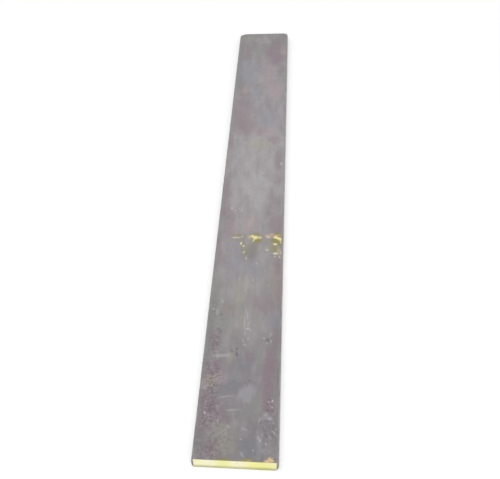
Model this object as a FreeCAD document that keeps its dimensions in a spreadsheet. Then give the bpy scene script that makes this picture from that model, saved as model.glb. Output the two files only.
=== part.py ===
"""Flat steel bar, hot rolled: one solid piece of stock, 24 in by 2 in by 1/4 in.

Frame, in millimetres: the bar lies flat. X runs across its width, Y along its length and Z through
its thickness. The origin is the centre of the underside. The near end, at -Y, is the painted one.

The bar is built as it is made: the rolled section is run out to length, then the shear cuts each
end off a little out of square, and its corners are rounded in plan.
"""

import FreeCAD, Part

import math
import os

import Sketcher

NODE = "flat_bar"

# Driving dimensions: alias, value and meaning. Lengths are in millimetres and angles in degrees.
DIMENSIONS = [
    ("bar_length", 609.6, "length along the right edge, which is the longer one, 24 in"),
    ("bar_width", 50.8, "width over the crowned edges, 2 in"),
    ("bar_thickness", 6.35, "thickness between the two flats, 1/4 in"),
    ("top_arris_radius", 0.9, "rounding of the section's two upper corners"),
    ("bottom_arris_radius", 2.4, "rounding of the section's two lower corners, softer than the upper"),
    ("crown_radius", 12.0, "radius of each narrow edge, which bulges a little at mid thickness"),
    ("near_cut_angle", 2.6, "near end out of square, its left corner set back"),
    ("far_cut_angle", 2.0, "far end out of square, its left corner set back"),
    ("near_left_corner", 1.6, "rounding in plan of the near left corner"),
    ("near_right_corner", 2.4, "rounding in plan of the near right corner"),
    ("far_left_corner", 8.9, "rounding in plan of the far left corner, bent over by the shear"),
    ("far_right_corner", 5.7, "rounding in plan of the far right corner"),
    ("side_clearance", 0.05, "how far outside the narrow edges the corner roundings are set"),
]

# How a sketch names the points of a line or an arc, and its own origin.
START, END, CENTRE = 1, 2, 3
ROOT_POINT = (-1, 1)


def make_sheet(doc):
    """The spreadsheet of driving dimensions, one row each."""
    sheet = doc.addObject("Spreadsheet::Sheet", "dimensions")
    for row, (alias, value, meaning) in enumerate(DIMENSIONS, start=1):
        sheet.set(f"A{row}", str(value))
        sheet.setAlias(f"A{row}", alias)
        sheet.set(f"B{row}", meaning)
    doc.recompute()
    return sheet


def new_sketch(body, name, role):
    """An empty sketch on one of the body's own origin planes."""
    sketch = body.newObject("Sketcher::SketchObject", name)
    plane = next(feature for feature in body.Origin.OriginFeatures if feature.Role == role)
    sketch.AttachmentSupport = (plane, [""])
    sketch.MapMode = "FlatFace"
    return sketch


def at(x, y):
    return FreeCAD.Vector(x, y, 0)


def line(start, end):
    return Part.LineSegment(at(*start), at(*end))


def arc(centre, radius, start, end):
    """A circular arc that runs anticlockwise from one angle to another, in radians."""
    circle = Part.Circle(at(*centre), FreeCAD.Vector(0, 0, 1), radius)
    return Part.ArcOfCircle(circle, start, end)


def fix(sketch, kind, *where):
    sketch.addConstraint(Sketcher.Constraint(kind, *where))


def drive(sketch, expression, kind, *where):
    """A dimension of a sketch, worked out from the spreadsheet. The last of where is its first value."""
    index = sketch.addConstraint(Sketcher.Constraint(kind, *where))
    sketch.setExpression(f"Constraints[{index}]", expression)


def draw_section(sketch, size):
    """The rolled section: two flats, four rounded arrises and two crowned edges, all tangent.

    It is drawn with the underside on the sketch's X axis and the middle of the bar on its Y axis.
    """
    tall = size.bar_thickness
    middle = tall / 2
    low_radius = size.bottom_arris_radius
    high_radius = size.top_arris_radius
    large = size.crown_radius
    crown_x = size.bar_width / 2 - large
    quarter, half_turn, turn = math.pi / 2, math.pi, 2 * math.pi

    def seat(radius):
        """How far an arris's centre is turned from the crown's level, and its distance from the middle."""
        tilt = math.asin((middle - radius) / (large - radius))
        return tilt, crown_x + (large - radius) * math.cos(tilt)

    low_tilt, low_x = seat(low_radius)
    high_tilt, high_x = seat(high_radius)
    sketch.addGeometry(
        [
            line((-low_x, 0), (low_x, 0)),
            arc((low_x, low_radius), low_radius, -quarter, -low_tilt),
            arc((crown_x, middle), large, -low_tilt, high_tilt),
            arc((high_x, tall - high_radius), high_radius, high_tilt, quarter),
            line((high_x, tall), (-high_x, tall)),
            arc((-high_x, tall - high_radius), high_radius, quarter, half_turn - high_tilt),
            arc((-crown_x, middle), large, half_turn - high_tilt, half_turn + low_tilt),
            arc((-low_x, low_radius), low_radius, half_turn + low_tilt, turn - quarter),
        ],
        False,
    )
    bottom, right_low, right_crown, right_high, top, left_high, left_crown, left_low = range(8)
    for index in range(8):
        fix(sketch, "Tangent", index, END, (index + 1) % 8, START)
    fix(sketch, "Horizontal", bottom)
    fix(sketch, "Horizontal", top)
    fix(sketch, "Symmetric", bottom, START, bottom, END, *ROOT_POINT)
    fix(sketch, "Equal", right_low, left_low)
    fix(sketch, "Equal", right_high, left_high)
    fix(sketch, "Equal", right_crown, left_crown)
    fix(sketch, "Horizontal", right_crown, CENTRE, left_crown, CENTRE)
    drive(sketch, "dimensions.bottom_arris_radius", "Radius", right_low, low_radius)
    drive(sketch, "dimensions.top_arris_radius", "Radius", right_high, high_radius)
    drive(sketch, "dimensions.crown_radius", "Radius", right_crown, large)
    drive(sketch, "dimensions.bar_thickness", "DistanceY", bottom, END, top, START, tall)
    to_crown = "dimensions.bar_width / 2 - dimensions.crown_radius"
    drive(sketch, to_crown, "DistanceX", *ROOT_POINT, right_crown, CENTRE, crown_x)
    to_middle = "dimensions.bar_thickness / 2"
    drive(sketch, to_middle, "DistanceY", *ROOT_POINT, right_crown, CENTRE, middle)


def draw_end_cut(sketch, size, side, end):
    """What the shear takes off one end, in plan. side is -1 at the near end and 1 at the far end.

    The cut line meets the right edge at half the length and sets the left corner back by the cut
    angle. An arc rounds each corner and ends level with its centre, just outside the narrow edge.
    Elsewhere the outline passes the bar by its thickness.
    """
    angle = math.radians(getattr(size, f"{end}_cut_angle"))
    half = size.bar_width / 2
    wall = half + size.side_clearance
    reach = wall + size.bar_thickness
    tip = side * size.bar_length / 2
    outer = tip + side * size.bar_thickness

    def corner(radius, way):
        """Centre of a corner's arc, and the foot where the arc leaves the cut line."""
        x = way * (wall - radius)
        y = tip - side * (half - x) * math.tan(angle) - side * radius / math.cos(angle)
        return (x, y), (x - radius * math.sin(angle), y + side * radius * math.cos(angle))

    left_radius = getattr(size, f"{end}_left_corner")
    right_radius = getattr(size, f"{end}_right_corner")
    left_centre, left_foot = corner(left_radius, -1)
    right_centre, right_foot = corner(right_radius, 1)
    foot_turn = side * (math.pi / 2 + angle)
    if side > 0:
        right_arc = arc(right_centre, right_radius, 0, foot_turn)
        left_arc = arc(left_centre, left_radius, foot_turn, math.pi)
        right_side, right_end, left_side, left_end = START, END, END, START
    else:
        right_arc = arc(right_centre, right_radius, foot_turn, 0)
        left_arc = arc(left_centre, left_radius, -math.pi, foot_turn)
        right_side, right_end, left_side, left_end = END, START, START, END
    cut, right, right_step, right_wall, outside, left_wall, left_step, left, tip_point = range(9)
    sketch.addGeometry(
        [
            line(left_foot, right_foot),
            right_arc,
            line((wall, right_centre[1]), (reach, right_centre[1])),
            line((reach, right_centre[1]), (reach, outer)),
            line((reach, outer), (-reach, outer)),
            line((-reach, outer), (-reach, left_centre[1])),
            line((-reach, left_centre[1]), (-wall, left_centre[1])),
            left_arc,
        ],
        False,
    )
    sketch.addGeometry(Part.Point(at(half, tip)), True)
    fix(sketch, "Tangent", cut, END, right, right_end)
    fix(sketch, "Tangent", cut, START, left, left_end)
    fix(sketch, "Coincident", right, right_side, right_step, START)
    fix(sketch, "Coincident", left_step, END, left, left_side)
    for first in (right_step, right_wall, outside, left_wall):
        fix(sketch, "Coincident", first, END, first + 1, START)
    for level in (right_step, outside, left_step):
        fix(sketch, "Horizontal", level)
    for upright in (right_wall, left_wall):
        fix(sketch, "Vertical", upright)
    fix(sketch, "Horizontal", right, CENTRE, right, right_side)
    fix(sketch, "Horizontal", left, CENTRE, left, left_side)
    fix(sketch, "PointOnObject", tip_point, START, cut)
    drive(sketch, f"dimensions.{end}_right_corner", "Radius", right, right_radius)
    drive(sketch, f"dimensions.{end}_left_corner", "Radius", left, left_radius)
    drive(sketch, f"{side} * dimensions.{end}_cut_angle * 1 deg", "Angle", cut, side * angle)
    to_edge = "dimensions.bar_width / 2"
    to_wall = to_edge + " + dimensions.side_clearance"
    to_reach = to_wall + " + dimensions.bar_thickness"
    drive(sketch, to_edge, "DistanceX", *ROOT_POINT, tip_point, START, half)
    drive(sketch, to_wall, "DistanceX", *ROOT_POINT, right, right_side, wall)
    drive(sketch, to_wall, "DistanceX", left, left_side, *ROOT_POINT, wall)
    drive(sketch, to_reach, "DistanceX", *ROOT_POINT, outside, START, reach)
    drive(sketch, to_reach, "DistanceX", outside, END, *ROOT_POINT, reach)
    to_tip = f"{side} * dimensions.bar_length / 2"
    to_outside = f"{side} * (dimensions.bar_length / 2 + dimensions.bar_thickness)"
    drive(sketch, to_tip, "DistanceY", *ROOT_POINT, tip_point, START, tip)
    drive(sketch, to_outside, "DistanceY", *ROOT_POINT, outside, START, outer)


def make_bar(doc, size):
    """The whole bar: the rolled section run out past its length, and the two ends cut."""
    body = doc.addObject("PartDesign::Body", NODE)
    body.Label = NODE
    section = new_sketch(body, "section", "XZ_Plane")
    draw_section(section, size)
    rolled = body.newObject("PartDesign::Pad", "rolled_length")
    rolled.Profile = section
    rolled.SideType = "Symmetric"
    rolled.setExpression("Length", "dimensions.bar_length + dimensions.bar_thickness")
    doc.recompute()
    for side, end in ((-1, "near"), (1, "far")):
        outline = new_sketch(body, f"{end}_cut_outline", "XY_Plane")
        draw_end_cut(outline, size, side, end)
        cut = body.newObject("PartDesign::Pocket", f"{end}_cut")
        cut.Profile = outline
        cut.Type = "ThroughAll"
        cut.SideType = "Symmetric"
        before = body.Shape.Volume
        doc.recompute()
        if not body.Shape.Volume < before:
            raise RuntimeError(f"the {end} cut takes nothing off the bar")
    return body


def check(doc, bodies):
    """Stops unless every object of the document is sound and every sub-part is one valid solid."""
    for thing in doc.Objects:
        if "Invalid" in thing.State or "Error" in thing.State:
            raise RuntimeError(f"{thing.Label} failed: {thing.State}")
    for body in bodies:
        shape = body.Shape
        if shape.isNull() or not shape.isValid() or len(shape.Solids) != 1:
            raise RuntimeError(f"{body.Label} is not one valid solid")


def main():
    doc = FreeCAD.newDocument("flat_bar_document")
    size = make_sheet(doc)
    bodies = [make_bar(doc, size)]
    doc.recompute()
    check(doc, bodies)
    os.makedirs("parts", exist_ok=True)
    for body in bodies:
        body.Shape.exportStep(f"parts/{body.Label}.step")
        box = body.Shape.BoundBox
        print(body.Label, box, f"volume {body.Shape.Volume:.1f} mm3", len(body.Shape.Faces), "faces")


main()
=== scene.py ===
"""A flat bar of hot-rolled steel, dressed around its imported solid.

Lengths are in millimetres until a mesh or the camera is made, and those of the floor and the lamps
are in metres. The bar lies along Y with its painted end at -Y. A mark on its top face is placed by two
lengths: across from the middle, and back from the painted end.
"""

import math

import bpy
import numpy as np
from mathutils import Matrix, Vector, noise


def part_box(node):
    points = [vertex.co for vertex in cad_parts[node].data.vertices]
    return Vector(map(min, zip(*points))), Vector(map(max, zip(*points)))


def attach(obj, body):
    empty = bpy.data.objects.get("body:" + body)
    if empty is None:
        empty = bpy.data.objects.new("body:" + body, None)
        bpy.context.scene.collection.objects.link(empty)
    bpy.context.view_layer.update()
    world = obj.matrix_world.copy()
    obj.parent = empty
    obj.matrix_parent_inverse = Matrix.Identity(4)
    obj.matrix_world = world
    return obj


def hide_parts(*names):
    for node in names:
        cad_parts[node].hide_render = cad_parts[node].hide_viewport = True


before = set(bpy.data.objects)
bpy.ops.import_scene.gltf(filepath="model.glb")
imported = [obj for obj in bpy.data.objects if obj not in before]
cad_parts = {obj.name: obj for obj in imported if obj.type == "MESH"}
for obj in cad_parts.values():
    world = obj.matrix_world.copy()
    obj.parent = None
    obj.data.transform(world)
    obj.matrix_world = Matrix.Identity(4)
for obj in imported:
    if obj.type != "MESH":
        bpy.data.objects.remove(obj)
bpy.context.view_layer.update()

MM = 0.001
NODE = "flat_bar"
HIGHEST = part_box(NODE)[1] / MM
HALF_WIDTH = HIGHEST.x
THICKNESS = HIGHEST.z

# Sizes of the solid that its box doesn't give.
LENGTH = 609.6
TOP_ARRIS = 0.9
BOTTOM_ARRIS = 2.4
CROWN = 12.0
SIDE_CLEARANCE = 0.05
# Each end: which way it faces, its angle out of square in degrees, and its left and right corners.
NEAR_END = (-1, 2.6, 1.6, 2.4)
FAR_END = (1, 2.0, 8.9, 5.7)

# The mesh: steps across the top and the underside, round each part of a side, and along the bar. The
# step at the far end is a few times as long as that at the near end.
TOP_STEPS = 96
BASE_STEPS = 16
SIDE_STEPS = (3, 4, 4)
SIDE = sum(SIDE_STEPS)
LENGTH_STEPS = 700
FAR_TO_NEAR_STEP = 3.0
# The rounding of the end faces' edges: its radius, and where its rings lie, in degrees.
END_EASE = 0.35
EASE_ANGLES = (0, 30, 60)

# Relief, all of it cut into the solid and never raised above it. A grain is its size across and along.
# A pit's spread is a share of its rough area, and its stretch is its length for its width.
WAVINESS = 0.03
WAVE_GRAIN = (17.0, 48.0)
PIT_DEPTH = 0.11
PIT_COUNT = 520
PIT_SPREAD = 0.5
PIT_RADII = (0.5, 1.1)
PIT_STRETCH = (0.8, 1.6)
PIT_REACH_UP = 1.0
NICK_DEPTH = 0.22
NICK_COUNT = 46
NICK_REACH = 1.6
NICK_HALF_LENGTHS = (1.2, 4.0)
DEPTH_SHARES = (0.3, 1.0)
HOLLOW_POWER = 1.5
SHEAR_DEPTH = 0.06
SHEAR_GRAIN = (0.9, 40.0)
SEED = 7

# Where the camera stands and how it is turned, in millimetres and degrees.
CAMERA_PLACE = (34.3, -696.5, 435.0)
CAMERA_PITCH = 34.855
CAMERA_ROLL = 1.619
CAMERA_YAW = -3.191
FOCAL_PIXELS = 994.3
IMAGE_WIDTH = 500
SENSOR = 36.0

# The steel's colour along the bar, by the length back from the painted end.
# Partly the steel's own tone and partly a painted sheen, which makes the middle of the bar lighter.
TONES_AND_SHEEN = [
    (0, (134, 130, 131)),
    (40, (134, 129, 131)),
    (90, (139, 134, 136)),
    (150, (149, 145, 146)),
    (215, (150, 145, 145)),
    (290, (159, 154, 156)),
    (370, (156, 152, 153)),
    (420, (150, 145, 148)),
    (520, (142, 137, 139)),
    (580, (130, 126, 128)),
    (610, (132, 129, 130)),
]

# Each mark below: across, back, half its size across, half its size along, turn in degrees, strength.

ROUGH_AREAS = [
    (-18, 70, 6, 16, 0, 1.0),
    (-18, 42, 8, 17, 0, 1.0),
    (-16, 13, 10, 12, 0, 0.8),
    (-18, 104, 4, 14, 0, 0.7),
    (-19, 135, 4, 13, 0, 0.45),
    (-8, 24, 7, 12, 0, 0.3),
    (18, 22, 6, 18, 0, 0.6),
    (19, 46, 3.5, 8, 0, 0.6),
    (17, 108, 3, 6, 0, 0.4),
]

MAUVE = (134, 117, 125)
MAUVE_PATCHES = [
    (16, 590, 4, 14, 0, 0.5),
    (13.5, 576, 4, 16, 0, 0.65),
    (19, 573, 2.5, 12, 0, 0.3),
    (10, 558, 6, 15, 12, 0.8),
    (15, 545, 6, 12, -8, 0.9),
    (19, 525, 4, 16, 0, 0.35),
    (-17, 555, 5, 15, 0, 0.25),
    (-16, 437, 8, 34, 0, 0.5),
    (-11, 402, 10, 14, 0, 0.5),
    (4, 392, 4, 8, 0, 0.4),
    (15, 376, 5, 7, 0, 0.35),
    (-22.5, 350, 2.5, 42, 0, 0.2),
    (19.5, 340, 3.0, 20, 0, 0.5),
    (19, 310, 4, 10, 0, 0.4),
    (-21.5, 285, 4, 30, 0, 0.55),
    (-17, 243, 4, 18, 0, 0.4),
    (17, 268, 6, 22, 0, 0.4),
    (19, 244, 6, 18, 0, 0.5),
    (-23, 206, 2.8, 24, 0, 0.45),
    (-20, 194, 4, 11, 0, 0.25),
    (21.5, 188, 3, 9, 0, 0.6),
    (14, 144, 8, 12, 0, 0.45),
    (22, 154, 3, 14, 0, 0.4),
    (22, 108, 2.8, 13, 0, 0.6),
    (-18.5, 108, 3.6, 8, 0, 0.55),
    (4.6, 91, 3.2, 6.0, 8, 0.55),
    (-17, 81, 4.8, 8.5, 0, 0.6),
    (18, 76, 4, 26, -3, 0.75),
    (18, 50, 3.2, 12, 0, 0.75),
    (-18, 47, 7, 11, 0, 0.6),
    (-11, 40, 3, 8, 0, 0.55),
    (-20, 31, 6, 9, 0, 0.4),
    (-5, 36, 2.0, 4, 0, 0.5),
    (-14, 10, 5, 6, 0, 0.6),
]

BROWN = (146, 132, 128)
BROWN_PATCHES = [
    (-15, 474, 4, 10, 0, 0.35),
    (-13.5, 411, 7, 11, 0, 0.45),
    (-22.5, 375, 2, 18, 0, 0.4),
    (21, 232, 3.5, 12, 0, 0.4),
    (20, 172, 5, 24, 0, 0.45),
    (-11, 139, 4, 6, 0, 0.5),
    (8, 136, 4, 10, 0, 0.25),
]

PINK = (166, 149, 155)
PINK_PATCHES = [
    (21, 565, 3, 11, 0, 0.55),
    (3.5, 532, 4, 12, 0, 0.45),
    (8, 508, 8, 28, 0, 0.5),
    (14, 474, 8, 20, 0, 0.5),
    (0, 393, 5, 7, 0, 0.4),
    (12, 389, 5, 7, 0, 0.75),
    (17, 377, 4, 7, 0, 0.35),
    (-17, 264, 5, 6, 0, 0.3),
    (-15, 240, 5, 12, 0, 0.45),
    (0, 245, 6, 12, 0, 0.35),
    (3, 150, 3.0, 14, 0, 0.2),
    (-12, 71, 4, 4, 0, 0.5),
]

COOL = (141, 143, 153)
COOL_PATCHES = [
    (-17.5, 534, 3, 8, 0, 0.5),
    (-12, 516, 9, 26, 0, 0.55),
    (-1, 516, 3, 8, 0, 0.3),
    (-4, 472, 4, 11, 0, 0.5),
    (0, 440, 4, 16, 0, 0.3),
    (10, 414, 7, 13, 0, 0.55),
    (18, 440, 5, 14, 0, 0.2),
    (-15, 338, 5, 22, 0, 0.2),
    (-11, 213, 6, 8, 0, 0.5),
    (-10, 192, 7, 12, 0, 0.4),
    (4, 184, 6, 11, 0, 0.4),
    (-8, 178, 5, 5, 0, 0.3),
    (20, 128, 3.6, 8, 0, 0.5),
    (14, 12, 1.6, 5, 28, 0.5),
]

SLATE = (122, 124, 131)
SLATE_PATCHES = [
    (1.5, 83, 6.5, 9, 0, 0.45),
    (-5, 65, 7.5, 9, 0, 0.6),
    (7, 72, 5, 5, 0, 0.35),
    (-11, 57, 4, 6, 0, 0.4),
    (20.5, 126, 2.6, 8, 0, 0.3),
    (4, 38, 5, 7, 0, 0.25),
    (10, 27, 6, 7, 0, 0.3),
    (7.5, 11, 5.5, 7, 20, 0.65),
    (19, 27, 3, 6, 0, 0.35),
]

GREEN_GREY = (140, 142, 136)
GREEN_GREY_PATCHES = [
    (-16, 594, 7, 12, 0, 0.5),
    (-4, 565, 6, 16, 0, 0.35),
    (12, 603, 9, 5, 0, 0.5),
    (22.5, 498, 2.5, 20, 0, 0.5),
    (3, 471, 2.5, 8, 0, 0.35),
    (-22.5, 165, 3, 30, 0, 0.4),
    (-15, 128, 7, 20, 0, 0.35),
    (11, 92, 3, 8, 0, 0.55),
    (10, 46, 4.6, 10, 0, 0.5),
    (6, 40, 7, 5, 0, 0.3),
]

SHADE = (118, 116, 117)
SHADE_PATCHES = [
    (-19, 601, 6, 6, 0, 0.35),
    (21, 600, 4, 5, 0, 0.35),
    (-23, 530, 3, 60, 0, 0.4),
    (-20, 495, 4, 24, 0, 0.5),
    (12, 578, 4, 22, 0, 0.3),
    (4, 540, 3, 12, 0, 0.3),
    (-23, 400, 2.5, 40, 0, 0.3),
    (-23, 260, 2.5, 50, 0, 0.35),
    (-19, 252, 4, 22, 0, 0.3),
    (11, 241, 4, 6, 0, 0.3),
    (22, 262, 2.5, 20, 0, 0.2),
    (23, 220, 2, 30, 0, 0.3),
    (-22.5, 128, 3.5, 38, 0, 0.5),
    (23, 130, 2, 35, 0, 0.4),
    (21.5, 84, 3, 44, 0, 0.3),
    (-12, 133, 5, 10, 0, 0.2),
    (-22.5, 22, 3, 18, 0, 0.3),
    (22, 22, 3, 16, 0, 0.3),
]

PALE = (176, 174, 175)
PALE_PATCHES = [
    (-4, 594, 9, 5, 0, 0.2),
    (2, 588, 5, 7, 0, 0.25),
    (-2, 500, 5, 10, 0, 0.25),
    (-2, 345, 12, 26, 0, 0.25),
    (0, 372, 10, 10, 0, 0.25),
    (8, 330, 8, 20, 0, 0.2),
    (2, 300, 9, 26, 0, 0.4),
    (4, 285, 4, 22, 0, 0.35),
    (5, 122, 7, 18, 0, 0.2),
    (0.5, 170, 2.2, 12, 0, 0.35),
]

BLUE_PALE = (158, 157, 163)
BLUE_PALE_PATCHES = [
    (6.0, 60.5, 3.6, 5.0, 0, 0.65),
    (4.6, 57, 4.4, 6.5, -15, 0.6),
    (3.0, 53.5, 4.4, 4.2, -10, 0.6),
    (17, 37, 3.2, 3.0, 0, 0.6),
    (13.6, 20, 1.8, 6, 14, 0.45),
    (15.8, 12, 1.5, 5, 22, 0.4),
]

OLIVE = (160, 157, 141)
OLIVE_PATCHES = [
    (3, 368, 9, 9, 0, 0.55),
    (-15, 476, 3.5, 9, 0, 0.15),
    (13.5, 210.5, 2.8, 3.5, 0, 0.6),
    (-3, 166, 4, 16, 0, 0.3),
    (-4, 151, 3.0, 8, 4, 0.6),
    (-5, 132, 4, 12, 0, 0.25),
    (-7.5, 88, 2, 5, 0, 0.4),
    (-9.5, 24.5, 5.2, 7.5, -8, 0.4),
    (-6, 14, 5, 7, 20, 0.35),
]

TAN = (190, 174, 150)
TAN_PATCHES = [
    (-15, 471, 2.5, 7, 0, 0.12),
    (-19.2, 66.3, 1.6, 2.2, 0, 0.5),
    (-17.4, 64.4, 1.2, 1.4, 0, 0.4),
    (-19, 69, 5, 5, 0, 0.25),
    (0.3, 246, 2.2, 9, 0, 0.2),
]

DARK = (104, 100, 103)
DARK_PATCHES = [
    (2.4, 328, 1.6, 16, 0, 0.25),
    (8, 316, 2.5, 3, 0, 0.15),
    (2, 208, 4, 12, 0, 0.3),
    (-4, 203, 2, 12, 10, 0.2),
    (-3.6, 98, 0.9, 1.1, 0, 0.75),
    (-3.4, 93.2, 0.8, 2.2, 5, 0.75),
    (-6.6, 96, 1.5, 0.8, -30, 0.5),
    (16.5, 107.3, 1.3, 2.2, 15, 0.55),
    (-16.8, 118, 1.1, 1.4, 0, 0.5),
    (-15.2, 115.5, 0.8, 1.4, 0, 0.45),
    (-15.8, 133.3, 1.0, 1.4, 0, 0.4),
    (-19.3, 100, 0.6, 5, 0, 0.4),
    (-17, 103.5, 1.0, 1.6, 0, 0.4),
    (5.7, 68.4, 1.3, 0.8, 0, 0.4),
    (3.3, 66.3, 0.7, 1.6, 30, 0.4),
    (-18.4, 61.5, 1.4, 1.4, 0, 0.5),
    (-16.2, 57.2, 1.6, 0.8, -25, 0.4),
    (23.6, 71, 0.7, 9, 0, 0.5),
    (20.8, 42.3, 0.7, 1.0, 0, 0.5),
    (22.6, 2.6, 0.9, 1.0, 0, 0.7),
]

FLECK = (192, 189, 191)
FLECKS = [
    (22, 335, 1.2, 2.0, 0, 0.5),
    (-16, 266, 1.0, 1.4, 20, 0.5),
    (-13, 263, 0.8, 1.2, 0, 0.4),
    (-10.5, 266, 0.7, 1.4, 0, 0.35),
    (-8, 264, 0.6, 1.4, 0, 0.45),
    (-14.5, 269, 0.8, 0.8, 0, 0.3),
    (-1.9, 199.1, 0.6, 1.7, 5, 0.6),
    (6.3, 192.6, 0.6, 2.0, 8, 0.35),
    (-5.4, 174, 0.6, 1.0, 0, 0.4),
    (4.5, 172, 0.6, 1.6, 0, 0.3),
    (-21.6, 139, 0.7, 0.9, 0, 0.5),
    (-19, 136, 0.9, 3.4, 5, 0.25),
    (-16, 148, 0.9, 1.8, 20, 0.25),
    (2.6, 118.4, 1.5, 0.9, 15, 0.6),
    (4.6, 117.2, 1.0, 0.7, -35, 0.35),
    (1.0, 113.5, 0.5, 3.4, 0, 0.3),
    (0.2, 126, 0.4, 6, 0, 0.25),
    (3.2, 124, 0.5, 3.6, -12, 0.3),
    (1.6, 134, 0.5, 5, 8, 0.3),
    (3.4, 108.6, 0.8, 1.2, 0, 0.3),
    (0.0, 107, 0.5, 2.6, 10, 0.3),
    (1.3, 102.4, 1.0, 1.1, 0, 0.3),
    (18.2, 112.6, 0.5, 1.8, -15, 0.3),
    (13.6, 108.8, 0.7, 1.4, 10, 0.3),
    (18.4, 105.6, 0.5, 1.4, 0, 0.35),
    (16.0, 103.6, 1.0, 0.6, 0, 0.35),
    (-8.7, 93.1, 1.3, 0.8, 20, 0.35),
    (-13.5, 91.6, 5.0, 1.5, 4, 0.35),
    (-16.4, 91.6, 1.4, 0.7, 0, 0.15),
    (-22, 62, 1.6, 1.6, 0, 0.25),
    (-20.1, 49.7, 0.7, 1.0, 0, 0.4),
    (-20.2, 39.6, 0.8, 1.3, 15, 0.65),
    (-17.8, 38, 0.4, 2.2, 10, 0.3),
    (-14, 31, 0.5, 1.0, 0, 0.4),
    (-11.6, 33, 0.4, 2.4, 0, 0.25),
    (-5, 28.4, 0.5, 1.8, 32, 0.35),
    (-8.4, 53.8, 4.8, 0.9, 10, 0.25),
    (-3.8, 42.3, 3.6, 0.8, 5, 0.3),
    (-12, 5.8, 0.5, 0.6, 0, 0.4),
    (20.5, 50.2, 0.6, 1.2, -12, 0.8),
    (18.4, 49.3, 0.6, 0.7, 0, 0.4),
    (20.7, 44.8, 0.6, 0.9, 0, 0.6),
    (19.4, 46.4, 0.4, 0.6, 0, 0.35),
    (16.2, 38.6, 1.2, 0.6, -20, 0.4),
    (19.1, 35.0, 1.2, 0.7, 10, 0.45),
    (21.3, 32.8, 0.4, 2.4, 24, 0.35),
    (13.0, 33.5, 0.4, 2.6, -14, 0.4),
    (22.1, 23.6, 0.4, 3.0, 33, 0.55),
    (23.2, 26.8, 0.5, 0.8, 0, 0.4),
    (15.3, 22, 0.5, 1.0, 0, 0.3),
    (12.7, 19.7, 0.5, 1.0, 10, 0.4),
    (14.0, 17.6, 0.5, 1.6, 12, 0.55),
    (17.6, 14.6, 0.5, 1.4, 8, 0.5),
    (19.6, 20.6, 0.3, 2.4, 26, 0.3),
    (16.6, 28.2, 0.3, 2.0, 30, 0.3),
    (4.7, 26.4, 2.0, 0.5, -28, 0.4),
    (2.6, 18.4, 0.6, 0.9, 0, 0.35),
    (10.2, 9.6, 0.5, 0.9, 0, 0.5),
    (3.8, 6.6, 0.8, 2.6, 28, 0.3),
]

# The yellow dabs of paint, and the thin stain of it round them.
YELLOW = (236, 221, 156)
YELLOW_DABS = [
    (1.9, 227.0, 1.5, 1.9, 15, 0.85),
    (4.0, 225.6, 1.9, 2.2, 0, 0.95),
    (6.4, 225.2, 1.6, 1.6, 0, 0.5),
    (2.9, 222.2, 0.7, 2.0, -15, 0.8),
    (19.4, 225.8, 1.8, 1.6, -10, 1.0),
    (21.6, 224.4, 2.0, 1.6, -35, 1.0),
    (22.8, 222.8, 0.9, 1.8, 0, 0.9),
    (23.2, 219.4, 0.5, 1.8, 0, 0.5),
    (19.1, 217.0, 1.5, 1.3, 0, 0.9),
]
CREAM = (220, 213, 190)
CREAM_DABS = [
    (-10.4, 225.4, 3.0, 0.8, 0, 0.65),
    (-6.2, 226.5, 0.7, 1.1, 0, 0.45),
    (8.0, 225.4, 1.2, 1.8, 0, 0.4),
    (14.6, 225.9, 1.2, 1.1, 0, 0.6),
    (12.8, 228.0, 0.8, 1.2, 0, 0.3),
    (19.4, 217.0, 0.9, 0.7, 0, 0.4),
    (19.4, 204.9, 1.7, 1.1, 0, 0.9),
    (-6.4, 217.8, 0.7, 2.0, 0, 0.9),
    (-4.6, 214.4, 0.8, 1.4, 0, 0.7),
    (-3.8, 206.5, 0.6, 1.6, -20, 0.65),
    (13.2, 209.4, 1.5, 1.1, 0, 0.4),
    (22.7, 200.2, 0.6, 1.2, 15, 0.6),
    (19.3, 201.2, 0.8, 0.8, 0, 0.3),
    (23.6, 205.5, 0.4, 2.4, 0, 0.5),
    (21.6, 213.8, 0.6, 0.7, 0, 0.3),
]
PAINT_STAIN = (141, 133, 80)
PAINT_STAINS = [
    (-10.5, 229.0, 4.2, 1.6, 0, 0.45),
    (-10, 222.6, 4.2, 1.2, 0, 0.35),
    (-6.2, 222.0, 2.0, 3.4, 0, 0.3),
    (4.4, 229.6, 3.4, 1.8, 0, 0.75),
    (5.6, 221.2, 3.0, 2.8, 0, 1.0),
    (8.8, 225.4, 1.2, 4.0, 0, 0.5),
    (20.8, 229.4, 3.4, 1.6, 0, 0.85),
    (19.6, 221.4, 3.6, 3.2, 0, 1.0),
    (22.4, 218.5, 1.6, 4.4, 0, 0.75),
    (18.8, 212.0, 2.6, 5.0, 0, 0.7),
    (16.0, 210.4, 2.2, 3.4, 0, 0.35),
    (20.8, 205.8, 1.0, 3.0, 0, 0.3),
    (-5.0, 216.0, 2.0, 4.6, 15, 0.45),
    (-2.8, 207.5, 1.8, 6.0, 12, 0.4),
    (-0.5, 226, 3, 8, 0, 0.15),
    (2, 214, 5, 7, 0, 0.15),
    (-7, 2.4, 4.0, 1.2, 0, 0.8),
    (7.5, 2.1, 4.6, 1.1, 0, 0.7),
]
ORANGE = (220, 191, 149)
ORANGE_STAINS = [
    (18.9, 1.4, 1.9, 1.8, 0, 0.85),
    (20.7, 2.4, 1.6, 2.0, 0, 0.9),
    (16.4, 229.4, 1.8, 1.8, -25, 0.4),
    (-0.6, 226.4, 1.2, 2.6, 0, 0.5),
    (13.0, 227.0, 1.8, 2.4, 0, 0.45),
    (22, 207, 1.6, 5, 0, 0.3),
    (20.6, 228.6, 3.0, 1.0, 0, 0.45),
    (6.5, 1.5, 3.0, 0.6, 0, 0.35),
]
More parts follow.
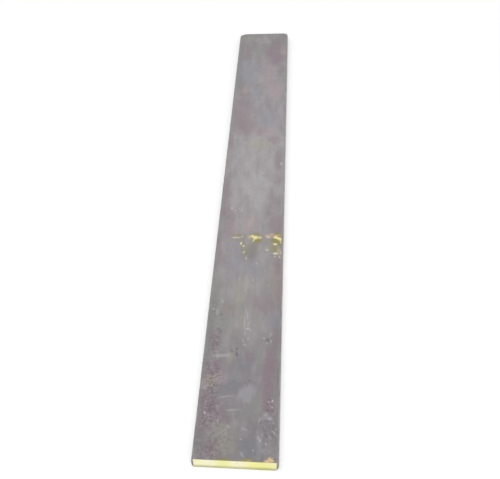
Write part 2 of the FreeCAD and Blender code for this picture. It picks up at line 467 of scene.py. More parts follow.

# Tones that noise and wear lay over the steel; the last of them is partly a painted highlight.
CLOUD = (148, 139, 146)
PALE_BAND = (172, 169, 168)
DARK_BAND = (124, 122, 121)
STREAK = (128, 122, 127)
DARK_MOTTLE = (124, 117, 122)
PALE_MOTTLE = (172, 168, 168)
DARK_GRIT = (104, 91, 96)
PALE_GRIT = (176, 167, 168)
SPECK = (100, 84, 92)
SPECK_STRENGTH = 0.3
PIT_FLOOR = (104, 90, 96)
RIM = (138, 139, 135)
ROLLING_LINE = (104, 100, 101)
SIDE_PATCH = (158, 151, 148)
# Partly rubbed wear and partly a painted highlight on the upper arrises.
RUBBED_AND_HIGHLIGHT = (178, 176, 174)

# The end faces as the shear left them, with the rougher zone low down.
DARK_SHEAR = (134, 131, 129)
PALE_SHEAR = (156, 153, 150)
BROKEN = (118, 112, 110)
SHEAR_SCALE = (1.6, 0.2, 0.12)

# The paint on the near end face, by the length from its left edge, and where it is paler or greener.
END_PAINT = [
    (0, (252, 248, 200)),
    (6, (253, 251, 206)),
    (12.5, (255, 252, 214)),
    (16.5, (246, 245, 176)),
    (19.5, (246, 247, 170)),
    (25, (255, 249, 212)),
    (30, (254, 248, 208)),
    (36, (252, 246, 160)),
    (42, (248, 244, 160)),
    (2 * HALF_WIDTH, (252, 247, 190)),
]
PALE_PAINT = (255, 251, 224)
# Painted shade: the end paint darker and greener towards the bottom of the face.
LOW_PAINTED_SHADE = (160, 163, 116)
GREEN_PAINT = (186, 190, 104)
STROKE_SCALE = (0.2, 0, 0.9)
GREEN_PATCH = (16.5, 0, 4.5, 2.6, 0, 0.35)

# Sets of fine scratches: turn in degrees, tone and strength.
SCRATCHES = [
    (27, FLECK, 0.25),
    (-12, FLECK, 0.18),
    (8, DARK, 0.2),
]

# Blooms of tint on the sides and the underside: how far their noise is shifted, and the tint.
BLOOMS = [
    (30, MAUVE),
    (70, SLATE),
    (110, BROWN),
    (150, PALE),
]

# Where a look fades in or out: from and to, as lengths in from a side or down from the top face.
TOP_FADE = (1.5, 0.6)
RIM_FADE = (3.4, 0.6)
SIDE_FADE = (1.4, 0.5)
INNER_FADE = (2.4, 1.4)
ARRIS_FADE = (1.3, 0.5)
PIT_FADE = (0.1, 0.045)
END_PAINT_FADE = (1.7, 1.0)

# How the steel shines: its fine bumps, and from how smooth to how rough it is.
BUMP_STRENGTH = 0.6
BUMP_DEPTH = 0.03
SATIN = (0.42, 0.48)
PAINT_ROUGHNESS = 0.6
STEEL_METALLIC = 0.35
SPECULAR = 0.3

# The stage. Places, reaches and sizes are in metres and powers in watts.
FLOOR_REACH = 8.0
FLOOR_GAP = 0.05 * MM
FLOOR_GREY = 0.9
# The floor's own glow between two distances from the bar's middle.
GLOW_REACH = (0.3, 3.0)
GLOW = (0.32, 0.7)
# The sky's strength as a light, and where it is seen.
SKY_LIGHT = 0.5
SKY_SEEN = 1.0
CLIP_START = 0.01
# Each lamp: its name, place, size and power. All of them face the origin.
LAMPS = [
    ("overhead", (-0.5, -0.2, 1.8), (1.8, 1.8), 9.1),
    ("front", (0.4, -1.9, 0.9), (1.2, 0.8), 12),
    ("behind", (-0.1, 2.87, 2.0), (1.2, 0.5), 4),
]


def srgb(red, green, blue):
    """A colour as a screen shows it, 0 to 255, turned into the linear light that nodes use."""
    shares = [value / 255 for value in (red, green, blue)]
    return tuple(s / 12.92 if s <= 0.04045 else ((s + 0.055) / 1.055) ** 2.4 for s in shares) + (1.0,)


# Geometry


def arc_points(centre, radius, start, end, steps):
    """Points along an arc and the outward directions there, without the last point. In degrees."""
    turns = np.radians(np.linspace(start, end, steps + 1)[:-1])
    outward = np.stack([np.cos(turns), np.sin(turns)], axis=1)
    return np.array(centre) + radius * outward, outward


def flat_points(across, height, way):
    """Points along one flat of the section, without the last point, and the outward directions there."""
    steps = len(across) - 1
    points = np.stack([across[:-1], np.full(steps, height)], axis=1)
    return points, np.tile([0.0, way], (steps, 1))


def section():
    """Points round the section and their outward directions, clockwise from the top left."""
    middle = THICKNESS / 2
    crown_x = HALF_WIDTH - CROWN
    top_tilt = math.degrees(math.asin((middle - TOP_ARRIS) / (CROWN - TOP_ARRIS)))
    low_tilt = math.degrees(math.asin((middle - BOTTOM_ARRIS) / (CROWN - BOTTOM_ARRIS)))
    top_x = crown_x + (CROWN - TOP_ARRIS) * math.cos(math.radians(top_tilt))
    low_x = crown_x + (CROWN - BOTTOM_ARRIS) * math.cos(math.radians(low_tilt))
    top_z = THICKNESS - TOP_ARRIS
    top_steps, crown_steps, low_steps = SIDE_STEPS
    even = np.linspace(-top_x, top_x, TOP_STEPS + 1)
    crowded = low_x * np.cos(np.linspace(0, math.pi, BASE_STEPS + 1))
    stretches = [
        flat_points(even, THICKNESS, 1.0),
        arc_points((top_x, top_z), TOP_ARRIS, 90, top_tilt, top_steps),
        arc_points((crown_x, middle), CROWN, top_tilt, -low_tilt, crown_steps),
        arc_points((low_x, BOTTOM_ARRIS), BOTTOM_ARRIS, -low_tilt, -90, low_steps),
        flat_points(crowded, 0.0, -1.0),
        arc_points((-low_x, BOTTOM_ARRIS), BOTTOM_ARRIS, -90, -180 + low_tilt, low_steps),
        arc_points((-crown_x, middle), CROWN, -180 + low_tilt, -180 - top_tilt, crown_steps),
        arc_points((-top_x, top_z), TOP_ARRIS, -180 - top_tilt, -270, top_steps),
    ]
    return np.concatenate([s[0] for s in stretches]), np.concatenate([s[1] for s in stretches])


def end_line(across, end):
    """How far along the bar an end lies at each place across: a straight cut with round corners."""
    side, degrees, *corners = end
    angle = math.radians(degrees)
    along = side * (LENGTH / 2 - (HALF_WIDTH - across) * math.tan(angle))
    for way, radius in zip((-1, 1), corners):
        centre_x = way * (HALF_WIDTH + SIDE_CLEARANCE - radius)
        set_back = (HALF_WIDTH - centre_x) * math.tan(angle) + radius / math.cos(angle)
        foot_x = centre_x - radius * math.sin(angle)
        rise = np.sqrt(np.maximum(radius**2 - (across - centre_x) ** 2, 0))
        rounded = side * (LENGTH / 2 - set_back + rise)
        along = np.where(way * (across - foot_x) > 0, rounded, along)
    return along


def eased_ring(points, outward, end, degrees):
    """One ring of an end's eased edge, by its angle from the end face towards the sides."""
    angle = math.radians(degrees)
    inset = points - END_EASE * (1 - math.sin(angle)) * outward
    along = end_line(inset[:, 0], end) - end[0] * END_EASE * (1 - math.cos(angle))
    facing = np.full(len(points), end[0] * math.cos(angle))
    sideways = outward * (1 - math.cos(angle))
    ring = np.stack([inset[:, 0], along, inset[:, 1]], axis=1)
    return ring, np.stack([sideways[:, 0], facing, sideways[:, 1]], axis=1)


def skin():
    """Every ring of the bar's skin from the near end to the far one, as points and directions."""
    points, outward = section()
    near = [eased_ring(points, outward, NEAR_END, angle) for angle in EASE_ANGLES]
    far = [eased_ring(points, outward, FAR_END, angle) for angle in reversed(EASE_ANGLES)]
    first = end_line(points[:, 0], NEAR_END) + END_EASE
    last = end_line(points[:, 0], FAR_END) - END_EASE
    growth = FAR_TO_NEAR_STEP ** (np.arange(LENGTH_STEPS + 1) / LENGTH_STEPS)
    level = np.stack([outward[:, 0], np.zeros(len(points)), outward[:, 1]], axis=1)
    middle = []
    for share in (growth - 1) / (FAR_TO_NEAR_STEP - 1):
        along = first + (last - first) * share
        middle.append((np.stack([points[:, 0], along, points[:, 1]], axis=1), level))
    rings = near + middle + far
    return np.array([ring for ring, _ in rings]), np.array([way for _, way in rings])


def smooth_noise(points, grain):
    """Noise from about 0 to 1 over many points, with its grain's size across and along the bar."""
    across, along = grain
    scaled = points / np.array([across, along, across])
    return 0.5 + 0.5 * np.array([noise.noise(Vector(p)) for p in scaled])


def dent(points, centre, radii):
    """A round hollow, 1 deep in its middle, round one place on the skin."""
    spread = (((points - np.array(centre)) / np.array(radii)) ** 2).sum(axis=1)
    return np.maximum(1 - spread, 0) ** HOLLOW_POWER


def pits(points, rng):
    """Small hollows, most of them in the rough areas of the top face."""
    depth = np.zeros(len(points))
    strengths = np.array([area[5] * area[2] * area[3] for area in ROUGH_AREAS])
    picks = rng.choice(len(ROUGH_AREAS), PIT_COUNT, p=strengths / strengths.sum())
    for across, back, half_across, half_along, _, _ in (ROUGH_AREAS[pick] for pick in picks):
        x = across + half_across * rng.normal(0, PIT_SPREAD)
        y = back + half_along * rng.normal(0, PIT_SPREAD) - LENGTH / 2
        radius = rng.uniform(*PIT_RADII)
        radii = (radius, radius * rng.uniform(*PIT_STRETCH), PIT_REACH_UP)
        hollow = PIT_DEPTH * rng.uniform(*DEPTH_SHARES) * dent(points, (x, y, THICKNESS), radii)
        depth = np.maximum(depth, hollow)
    return depth


def nicks(points, rng):
    """Knocks along the two upper arrises."""
    depth = np.zeros(len(points))
    for _ in range(NICK_COUNT):
        place = (rng.choice((-1, 1)) * HALF_WIDTH, rng.uniform(-LENGTH / 2, LENGTH / 2), THICKNESS)
        radii = (NICK_REACH, rng.uniform(*NICK_HALF_LENGTHS), NICK_REACH)
        knock = NICK_DEPTH * rng.uniform(*DEPTH_SHARES) * dent(points, place, radii)
        depth = np.maximum(depth, knock)
    return depth


def relief(points):
    """How deep each point of the skin is sunk below the solid's surface."""
    rng = np.random.default_rng(SEED)
    rolled = WAVINESS * smooth_noise(points, WAVE_GRAIN)
    return rolled + pits(points, rng) + nicks(points, rng)


def cap_points(ring, end):
    """The inner points of an end face, row by row down from the top, with what the shear left."""
    top = ring[: TOP_STEPS + 1]
    bottom = ring[TOP_STEPS + SIDE : TOP_STEPS + SIDE + BASE_STEPS + 1][::-1]
    spots = np.linspace(0, BASE_STEPS, TOP_STEPS + 1)
    base_x = np.interp(spots, np.arange(BASE_STEPS + 1), bottom[:, 0])
    base = np.stack([base_x, top[:, 1], np.full(TOP_STEPS + 1, bottom[0, 2])], axis=1)
    shares = (np.arange(1, SIDE) / SIDE)[:, None, None]
    points = (top + (base - top) * shares).reshape(-1, 3)
    ridges = smooth_noise(points, SHEAR_GRAIN)
    points[:, 1] = end_line(points[:, 0], end) - end[0] * SHEAR_DEPTH * ridges
    return points


def zip_rows(upper, lower):
    """Triangles that join two rows of points with unlike counts."""
    i = k = 0
    while i < len(upper) - 1 or k < len(lower) - 1:
        upper_next = (i + 1) * (len(lower) - 1)
        lower_next = (k + 1) * (len(upper) - 1)
        if upper_next <= lower_next:
            yield lower[k], upper[i + 1], upper[i]
            i += 1
        else:
            yield lower[k], lower[k + 1], upper[i]
            k += 1


def cap_faces(start, count, inner):
    """The faces of an end: a grid below the top edge, a zip to the base, and a strip at each side."""
    columns = TOP_STEPS + 1
    rows = [[start + column for column in range(columns)]]
    for row in range(SIDE - 1):
        rows.append([inner + row * columns + column for column in range(columns)])
    base = [start + TOP_STEPS + SIDE + BASE_STEPS - column for column in range(BASE_STEPS + 1)]
    for upper, lower in zip(rows, rows[1:]):
        for column in range(TOP_STEPS):
            yield lower[column], lower[column + 1], upper[column + 1], upper[column]
    yield from zip_rows(rows[-1], base)
    left = [start + (count - row) % count for row in range(SIDE + 1)]
    right = [start + TOP_STEPS + row for row in range(SIDE + 1)]
    first = [row[0] for row in rows] + [base[0]]
    last = [row[-1] for row in rows] + [base[-1]]
    for row in range(SIDE):
        yield tuple(dict.fromkeys((left[row + 1], first[row + 1], first[row], left[row])))
        yield tuple(dict.fromkeys((last[row + 1], right[row + 1], right[row], last[row])))


def skin_faces(rings, count):
    """The faces between each ring and the next."""
    for ring in range(rings - 1):
        for place in range(count):
            here = ring * count + place
            beside = ring * count + (place + 1) % count
            yield here, beside, beside + count, here + count


def make_bar():
    """The whole bar as one closed mesh."""
    rings, directions = skin()
    ring_count, count = rings.shape[:2]
    points = rings.reshape(-1, 3)
    sunk = points - directions.reshape(-1, 3) * relief(points)[:, None]
    near_cap = cap_points(rings[0], NEAR_END)
    far_cap = cap_points(rings[-1], FAR_END)
    faces = list(skin_faces(ring_count, count))
    faces += cap_faces(0, count, len(sunk))
    far_faces = cap_faces(len(sunk) - count, count, len(sunk) + len(near_cap))
    faces += [face[::-1] for face in far_faces]
    mesh = bpy.data.meshes.new("steel_bar")
    mesh.from_pydata((np.concatenate([sunk, near_cap, far_cap]) * MM).tolist(), [], faces)
    mesh.shade_smooth()
    bar = bpy.data.objects.new("steel_bar", mesh)
    bpy.context.scene.collection.objects.link(bar)
    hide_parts(NODE)
    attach(bar, "root")
    return bar


# Materials


class Graph:
    """Adds nodes to one tree and joins them, so that a look reads as a few calls."""

    def __init__(self, tree):
        self.tree = tree
        self.tree.nodes.clear()

    def feed(self, socket, value):
        """Gives an input a plain value or another node's output."""
        if isinstance(value, bpy.types.NodeSocket):
            self.tree.links.new(value, socket)
        else:
            socket.default_value = value

    def add(self, kind, inputs=(), **settings):
        """A node with its settings, and its inputs by name or place."""
        node = self.tree.nodes.new(kind)
        for name, value in settings.items():
            setattr(node, name, value)
        for key, value in dict(inputs).items():
            self.feed(node.inputs[key], value)
        return node

    def math(self, operation, first, second=0.0):
        return self.add("ShaderNodeMath", {0: first, 1: second}, operation=operation).outputs[0]

    def times(self, first, second):
        return self.math("MULTIPLY", first, second)

    def vector(self, operation, first, second):
        return self.add("ShaderNodeVectorMath", {0: first, 1: second}, operation=operation).outputs[0]

    def parts(self, vector):
        return self.add("ShaderNodeSeparateXYZ", {0: vector}).outputs

    def flat(self, place):
        """A place at no height, since a blot fades away from its plane."""
        return self.vector("MULTIPLY", place, (1, 1, 0))

    def ramp(self, value, low, high, at_low=0.0, at_high=1.0):
        """A smooth step: at_low below low and at_high above high."""
        inputs = {"Value": value, "From Min": low, "From Max": high, "To Min": at_low, "To Max": at_high}
        return self.add("ShaderNodeMapRange", inputs, interpolation_type="SMOOTHSTEP").outputs[0]

    def ramp_short_of(self, limit, fade, value, at_low=0.0, at_high=1.0):
        """A smooth step between two lengths short of a limit."""
        return self.ramp(value, limit - fade[0], limit - fade[1], at_low, at_high)

    def mix(self, share, first, second):
        node = self.add("ShaderNodeMix", {0: share, 6: first, 7: second}, data_type="RGBA")
        return node.outputs[2]

    def tint(self, colour, tone, share):
        """Lays a tone over a colour, by a share from 0 to 1."""
        return self.mix(share, colour, srgb(*tone))

    def noise(self, place, size, detail=3.0, lengthwise=1.0, output=0):
        """Noise with grains of a given size in millimetres, drawn out along the bar by a factor."""
        scaled = self.vector("MULTIPLY", place, (1 / size, 1 / size / lengthwise, 1 / size))
        node = self.add("ShaderNodeTexNoise", {"Vector": scaled, "Scale": 1.0, "Detail": detail})
        return node.outputs[output]

    def dots(self, place, size, share):
        """Round spots in a share of the cells of a loose grid, no two of them the same size."""
        scaled = self.vector("MULTIPLY", place, (1 / size, 1 / size, 1 / size))
        cells = self.add("ShaderNodeTexVoronoi", {"Vector": scaled, "Scale": 1.0}).outputs
        chance = self.add("ShaderNodeSeparateColor", {0: cells["Color"]}).outputs
        radius = self.ramp(chance[1], 0.0, 1.0, at_low=0.15, at_high=0.5)
        spot = self.ramp(self.math("DIVIDE", cells["Distance"], radius), 0.6, 1.0, at_low=1.0, at_high=0.0)
        return self.times(spot, self.math("LESS_THAN", chance[0], share))

    def patch(self, place, across, back, half_across, half_along, turn, strength, soft):
        """A blot with a soft rim, at half its strength where its half sizes end."""
        spread = 1 / (1 - soft / 2)
        blot = self.add("ShaderNodeTexGradient", {"Vector": place}, gradient_type="SPHERICAL")
        blot.texture_mapping.vector_type = "TEXTURE"
        blot.texture_mapping.translation = (across, back, 0)
        blot.texture_mapping.rotation = (0, 0, math.radians(turn))
        blot.texture_mapping.scale = (half_across * spread, half_along * spread, 1)
        return self.ramp(blot.outputs[1], 0.0, soft, 0.0, strength)

    def patches(self, place, blots, soft):
        """The strongest of a list of blots at each place."""
        total = None
        for blot in blots:
            one = self.patch(place, *blot, soft)
            total = one if total is None else self.math("MAXIMUM", total, one)
        return total

    def shaken(self, place, size, across, along, lengthwise=1.0):
        """A place moved about by noise, so that what is drawn there gets an uneven rim."""
        shake = self.noise(place, size, 2.0, lengthwise, "Color")
        swing = self.vector("SUBTRACT", shake, (0.5, 0.5, 0.5))
        return self.vector("ADD", place, self.vector("MULTIPLY", swing, (across, along, 0)))

    def stops(self, value, length, tones):
        """A colour that changes along a length by a list of places and colours."""
        ramp = self.add("ShaderNodeValToRGB", {0: self.math("DIVIDE", value, length)})
        elements = ramp.color_ramp.elements
        while len(elements) < len(tones):
            elements.new(1.0)
        for element, (place, colour) in zip(elements, tones):
            element.position = place / length
            element.color = srgb(*colour)
        return ramp.outputs[0]


def new_material(name):
    """A material, and the graph that draws in it."""
    material = bpy.data.materials.new(name)
    material.use_nodes = True
    return material, Graph(material.node_tree)


def scale_colour(graph, place, on_top):
    """The mill scale: tone and painted sheen along the bar, clouds, bands, heat tints, streaks, mottling.
    """
    # The tone along the bar, with a painted sheen that lightens its middle.
    colour = graph.stops(graph.parts(place)[1], LENGTH, TONES_AND_SHEEN)
    clouds = graph.noise(place, size=24, detail=4, lengthwise=2.4)
    colour = graph.tint(colour, CLOUD, graph.ramp(clouds, 0.4, 0.62, at_high=0.2))
    bands = graph.noise(place, size=6, detail=3, lengthwise=3.2)
    colour = graph.tint(colour, PALE_BAND, graph.ramp(bands, 0.5, 0.66, at_high=0.24))
    colour = graph.tint(colour, DARK_BAND, graph.ramp(bands, 0.36, 0.5, at_low=0.24, at_high=0.0))
    colour = heat_colour(graph, place, colour, on_top)
    colour = bloom_colour(graph, place, colour, on_top)
    streaks = graph.noise(place, size=1.6, detail=2, lengthwise=60)
    colour = graph.tint(colour, STREAK, graph.ramp(streaks, 0.5, 0.72, at_high=0.14))
    mottle = graph.noise(place, size=3.2, detail=4, lengthwise=1.6)
    colour = graph.tint(colour, DARK_MOTTLE, graph.ramp(mottle, 0.5, 0.75, at_high=0.16))
    return graph.tint(colour, PALE_MOTTLE, graph.ramp(mottle, 0.25, 0.48, at_low=0.12, at_high=0.0))


def heat_colour(graph, place, colour, on_top):
    """Adds the blots of heat tint on the top face."""
    wander = graph.shaken(graph.flat(place), size=14, across=6, along=9, lengthwise=1.6)
    wander = graph.shaken(wander, size=2.2, across=2.2, along=15, lengthwise=7)
    for blots, tone in (
        (SHADE_PATCHES, SHADE),
        (PALE_PATCHES, PALE),
        (COOL_PATCHES, COOL),
        (SLATE_PATCHES, SLATE),
        (GREEN_GREY_PATCHES, GREEN_GREY),
        (PINK_PATCHES, PINK),
        (BROWN_PATCHES, BROWN),
        (MAUVE_PATCHES, MAUVE),
        (OLIVE_PATCHES, OLIVE),
        (TAN_PATCHES, TAN),
        (BLUE_PALE_PATCHES, BLUE_PALE),
    ):
        share = graph.times(graph.patches(wander, blots, soft=0.7), on_top)
        colour = graph.tint(colour, tone, share)
    return colour


def bloom_colour(graph, place, colour, on_top):
    """Adds blooms of tint everywhere but on the top face."""
    elsewhere = graph.math("SUBTRACT", 1.0, on_top)
    for shift, tone in BLOOMS:
        shifted = graph.vector("ADD", place, (shift, shift, 0))
        bloom = graph.noise(shifted, size=13, detail=4, lengthwise=3.5)
        share = graph.times(graph.ramp(bloom, 0.48, 0.68, at_high=0.6), elsewhere)
        colour = graph.tint(colour, tone, share)
    return colour


def worn_colour(graph, place, colour, rough, on_top):
    """Adds what the years did to the scale: grit, specks, scratches, dark marks and pale flecks."""
    ragged = graph.shaken(graph.flat(place), size=1.4, across=1.2, along=1.8)
    grit = graph.noise(place, size=2.3, detail=4)
    thickness = graph.noise(place, size=9, detail=2, lengthwise=1.3)
    drifts = graph.times(graph.ramp(thickness, 0.38, 0.6, at_low=0.35), rough)
    dark_grit = graph.times(graph.ramp(grit, 0.49, 0.66, at_high=0.7), drifts)
    colour = graph.tint(colour, DARK_GRIT, dark_grit)
    pale_grit = graph.times(graph.ramp(grit, 0.32, 0.47, at_low=0.45, at_high=0.0), drifts)
    colour = graph.tint(colour, PALE_GRIT, pale_grit)
    specks = graph.times(graph.dots(ragged, size=1.3, share=0.5), rough)
    colour = graph.tint(colour, SPECK, graph.times(specks, SPECK_STRENGTH))
    colour = scratched_colour(graph, place, colour)
    for blots, tone in ((DARK_PATCHES, DARK), (FLECKS, FLECK)):
        share = graph.times(graph.patches(ragged, blots, soft=0.7), on_top)
        colour = graph.tint(colour, tone, share)
    return colour


def scratched_colour(graph, place, colour):
    """Adds the sets of fine scratches, each stronger in some places than in others."""
    strewn = graph.noise(place, size=19, detail=2, lengthwise=1.5)
    where = graph.ramp(strewn, 0.45, 0.65, at_low=0.3)
    for turn, tone, strength in SCRATCHES:
        rotation = (0, 0, math.radians(turn))
        turned = graph.add("ShaderNodeMapping", {"Vector": place, "Rotation": rotation}).outputs[0]
        lines = graph.noise(turned, size=0.45, detail=2, lengthwise=16)
        share = graph.times(graph.ramp(lines, 0.62, 0.72, at_high=strength), where)
        colour = graph.tint(colour, tone, share)
    return colour


def pitted_colour(graph, across, height, colour, on_top):
    """Darkens the floors of the pits, clear of the rounded long corners."""
    out = graph.math("ABSOLUTE", across)
    inner = graph.ramp_short_of(HALF_WIDTH, INNER_FADE, out, at_low=1.0, at_high=0.0)
    deep = graph.times(graph.ramp_short_of(THICKNESS, PIT_FADE, height, at_low=0.4, at_high=0.0), on_top)
    return graph.tint(colour, PIT_FLOOR, graph.times(deep, inner))


def side_colour(graph, place, across, height, colour):
    """Adds greyer rims and sides, their rolling lines, and rubbed upper arrises with a painted highlight.
    """
    out = graph.math("ABSOLUTE", across)
    rim = graph.ramp_short_of(HALF_WIDTH, RIM_FADE, out, at_high=0.4)
    colour = graph.tint(colour, RIM, rim)
    side = graph.ramp_short_of(HALF_WIDTH, SIDE_FADE, out)
    rolled = graph.noise(place, size=0.7, detail=3, lengthwise=50)
    lines = graph.times(graph.ramp(rolled, 0.45, 0.62, at_high=0.5), side)
    colour = graph.tint(colour, ROLLING_LINE, lines)
    uneven = graph.noise(place, size=2.6, detail=4, lengthwise=2.5)
    patchy = graph.times(graph.ramp(uneven, 0.52, 0.64, at_high=0.5), side)
    colour = graph.tint(colour, SIDE_PATCH, patchy)
    # Rubbed wear and a painted highlight: the upper arrises made lighter.
    arris = graph.times(side, graph.ramp_short_of(THICKNESS, ARRIS_FADE, height))
    rubs = graph.noise(place, size=1.8, detail=4, lengthwise=4.0)
    rubbed_and_highlight = graph.ramp(rubs, 0.4, 0.58, at_low=0.15, at_high=0.65)
    return graph.tint(colour, RUBBED_AND_HIGHLIGHT, graph.times(arris, rubbed_and_highlight))


def painted_colour(graph, place, colour, on_top):
    """Adds the dabs of marking paint across the top face, with the stain round them."""
    flat = graph.flat(place)
    loose = graph.shaken(flat, size=2.4, across=2.6, along=5.0)
    loose = graph.shaken(loose, size=0.7, across=1.2, along=1.6)
    ragged = graph.shaken(flat, size=1.6, across=1.6, along=2.4)
    ragged = graph.shaken(ragged, size=0.5, across=0.5, along=0.8)
    for where, blots, soft, tone in (
        (loose, PAINT_STAINS, 0.9, PAINT_STAIN),
        (loose, ORANGE_STAINS, 0.7, ORANGE),
        (ragged, CREAM_DABS, 0.6, CREAM),
        (ragged, YELLOW_DABS, 0.6, YELLOW),
    ):
        share = graph.times(graph.patches(where, blots, soft), on_top)
        colour = graph.tint(colour, tone, share)
    return colour


def sheared_colour(graph, place, height, colour):
    """Lays the shear marks over both end faces. Also gives how far each point is on an end face."""
    facing = graph.add("ShaderNodeTexCoord").outputs["Normal"]
    endways = graph.math("ABSOLUTE", graph.parts(facing)[1])
    sheared = graph.ramp(endways, 0.5, 0.85)
    upright = graph.vector("MULTIPLY", place, SHEAR_SCALE)
    grain = graph.add("ShaderNodeTexNoise", {"Vector": upright, "Scale": 1.0, "Detail": 3.0}).outputs[0]
    bare = graph.mix(graph.ramp(grain, 0.35, 0.65), srgb(*DARK_SHEAR), srgb(*PALE_SHEAR))
    low = graph.ramp(height, 2.0, 3.6, at_low=0.6, at_high=0.0)
    broken = graph.times(low, graph.ramp(grain, 0.4, 0.6, at_low=0.4))
    bare = graph.tint(bare, BROKEN, broken)
    return graph.mix(sheared, colour, bare), sheared


def end_paint(graph, place, on_face, across, height, colour):
    """Adds the near end's yellow paint, short of its rim, worn in places, with painted shade low down."""
    ragged = graph.shaken(place, size=2.6, across=4.0, along=0.0)
    from_left = graph.math("ADD", graph.parts(ragged)[0], HALF_WIDTH)
    paint = graph.stops(from_left, 2 * HALF_WIDTH, END_PAINT)
    strokes = graph.vector("MULTIPLY", place, STROKE_SCALE)
    brushed = graph.add("ShaderNodeTexNoise", {"Vector": strokes}).outputs[0]
    paint = graph.tint(paint, PALE_PAINT, graph.ramp(brushed, 0.5, 0.64, at_high=0.4))
    green = graph.patch(graph.flat(ragged), *GREEN_PATCH, soft=0.8)
    low = graph.ramp(height, 0.8, 3.4, at_low=1.0, at_high=0.0)
    paint = graph.tint(paint, GREEN_PAINT, graph.times(green, low))
    # Painted shade: the paint darker towards the bottom of the face.
    paint = graph.tint(paint, LOW_PAINTED_SHADE, graph.ramp(height, 0.4, 3.0, at_low=0.7, at_high=0.0))
    out = graph.math("ABSOLUTE", across)
    inside = graph.ramp_short_of(HALF_WIDTH, END_PAINT_FADE, out, at_low=1.0, at_high=0.0)
    worn = graph.ramp(graph.noise(place, size=0.7, detail=3), 0.66, 0.74, at_low=1.0, at_high=0.3)
    share = graph.times(graph.times(on_face, inside), worn)
    return graph.mix(share, colour, paint), share


def steel_shader(graph, place, colour, paint):
    """Gives the colour its finish: satin and a little metallic, but duller where it is painted."""
    fine = graph.noise(place, size=0.8, detail=3)
    depth = {"Strength": BUMP_STRENGTH, "Distance": BUMP_DEPTH * MM, "Height": fine}
    bump = graph.add("ShaderNodeBump", depth)
    satin = graph.ramp(graph.noise(place, size=6.0, detail=3, lengthwise=3.0), 0.3, 0.7, *SATIN)
    roughness = graph.mix(paint, satin, (PAINT_ROUGHNESS, PAINT_ROUGHNESS, PAINT_ROUGHNESS, 1))
    metallic = graph.times(graph.math("SUBTRACT", 1.0, paint), STEEL_METALLIC)
    shader = graph.add(
        "ShaderNodeBsdfPrincipled",
        {
            "Base Color": colour,
            "Roughness": roughness,
            "Metallic": metallic,
            "Specular IOR Level": SPECULAR,
            "Normal": bump.outputs[0],
        },
    )
    graph.add("ShaderNodeOutputMaterial", {"Surface": shader.outputs[0]})


def steel_material():
    """The steel, in layers: scale, wear, sides, dabs of paint, sheared ends and the end's paint."""
    material, graph = new_material("mill_scale")
    object_place = graph.add("ShaderNodeTexCoord").outputs["Object"]
    place = graph.vector("MULTIPLY", object_place, (1 / MM, 1 / MM, 1 / MM))
    place = graph.vector("ADD", place, (0, LENGTH / 2, 0))
    across, back, height = graph.parts(place)
    on_top = graph.ramp_short_of(THICKNESS, TOP_FADE, height)
    rough = graph.times(graph.patches(graph.flat(place), ROUGH_AREAS, soft=0.9), on_top)

    colour = scale_colour(graph, place, on_top)
    colour = worn_colour(graph, place, colour, rough, on_top)
    colour = pitted_colour(graph, across, height, colour, on_top)
    colour = side_colour(graph, place, across, height, colour)
    colour = painted_colour(graph, place, colour, on_top)
    colour, sheared = sheared_colour(graph, place, height, colour)
    on_face = graph.times(sheared, graph.math("LESS_THAN", back, LENGTH / 2))
    colour, paint = end_paint(graph, place, on_face, across, height, colour)
    steel_shader(graph, place, colour, paint)
    return material


# Stage


def seen_directly(graph):
    """1 for what the camera sees straight, mirrored or through glass, and 0 for what only lights."""
    rays = graph.add("ShaderNodeLightPath").outputs
    seen = rays["Is Camera Ray"]
    for kind in ("Is Glossy Ray", "Is Transmission Ray"):
        seen = graph.math("MAXIMUM", seen, rays[kind])
    return seen


def floor_material():
    """A pale floor that looks white, more so far from the bar, and still takes its shadow."""
    material, graph = new_material("white_floor")
    seen = seen_directly(graph)
    place = graph.add("ShaderNodeTexCoord").outputs["Object"]
    distance = graph.add("ShaderNodeVectorMath", {0: place}, operation="LENGTH").outputs["Value"]
    strength = graph.times(seen, graph.ramp(distance, *GLOW_REACH, *GLOW))
    plain = graph.add("ShaderNodeBsdfDiffuse", {"Color": (FLOOR_GREY, FLOOR_GREY, FLOOR_GREY, 1)})
    glow = graph.add("ShaderNodeEmission", {"Strength": strength})
    both = graph.add("ShaderNodeAddShader", {0: plain.outputs[0], 1: glow.outputs[0]})
    graph.add("ShaderNodeOutputMaterial", {"Surface": both.outputs[0]})
    return material


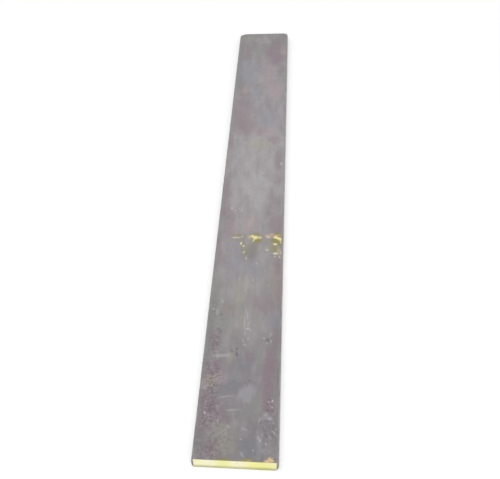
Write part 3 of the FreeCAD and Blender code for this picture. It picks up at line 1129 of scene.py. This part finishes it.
def make_floor():
    """A level square just below the bar."""
    signs = ((-1, -1), (1, -1), (1, 1), (-1, 1))
    corners = [(x * FLOOR_REACH, y * FLOOR_REACH, -FLOOR_GAP) for x, y in signs]
    mesh = bpy.data.meshes.new("floor")
    mesh.from_pydata(corners, [], [(0, 1, 2, 3)])
    mesh.materials.append(floor_material())
    floor = bpy.data.objects.new("floor", mesh)
    bpy.context.scene.collection.objects.link(floor)


def make_sky():
    """A white world that gives an even, softer light."""
    world = bpy.data.worlds.new("white_sky")
    bpy.context.scene.world = world
    world.use_nodes = True
    graph = Graph(world.node_tree)
    strength = graph.ramp(seen_directly(graph), 0.0, 1.0, SKY_LIGHT, SKY_SEEN)
    sky = graph.add("ShaderNodeBackground", {"Color": (1, 1, 1, 1), "Strength": strength})
    graph.add("ShaderNodeOutputWorld", {"Surface": sky.outputs[0]})


def make_lamp(name, place, size, power):
    """A soft rectangular lamp that faces the origin."""
    data = bpy.data.lights.new(name, "AREA")
    data.shape = "RECTANGLE"
    data.size, data.size_y = size
    data.energy = power
    lamp = bpy.data.objects.new(name, data)
    bpy.context.scene.collection.objects.link(lamp)
    lamp.location = place
    lamp.rotation_euler = (-Vector(place)).to_track_quat("-Z", "Y").to_euler()


def make_camera():
    """The camera that the photo's outline was fitted with."""
    pitch, roll, yaw = (math.radians(v) for v in (CAMERA_PITCH, CAMERA_ROLL, CAMERA_YAW))
    ahead = Vector((math.sin(yaw) * math.cos(pitch), math.cos(yaw) * math.cos(pitch), -math.sin(pitch)))
    level = Vector((math.cos(yaw), -math.sin(yaw), 0))
    down = ahead.cross(level)
    right = level * math.cos(roll) + down * math.sin(roll)
    up = level * math.sin(roll) - down * math.cos(roll)
    data = bpy.data.cameras.new("camera")
    data.sensor_width = SENSOR
    data.lens = SENSOR * FOCAL_PIXELS / IMAGE_WIDTH
    data.clip_start = CLIP_START
    camera = bpy.data.objects.new("camera", data)
    bpy.context.scene.collection.objects.link(camera)
    turn = Matrix((right, up, -ahead)).transposed().to_4x4()
    camera.matrix_world = Matrix.Translation(Vector(CAMERA_PLACE) * MM) @ turn
    bpy.context.scene.camera = camera


def main():
    bar = make_bar()
    bar.data.materials.append(steel_material())
    make_floor()
    make_sky()
    for lamp in LAMPS:
        make_lamp(*lamp)
    make_camera()
    bpy.context.scene.view_settings.view_transform = "Standard"


main()
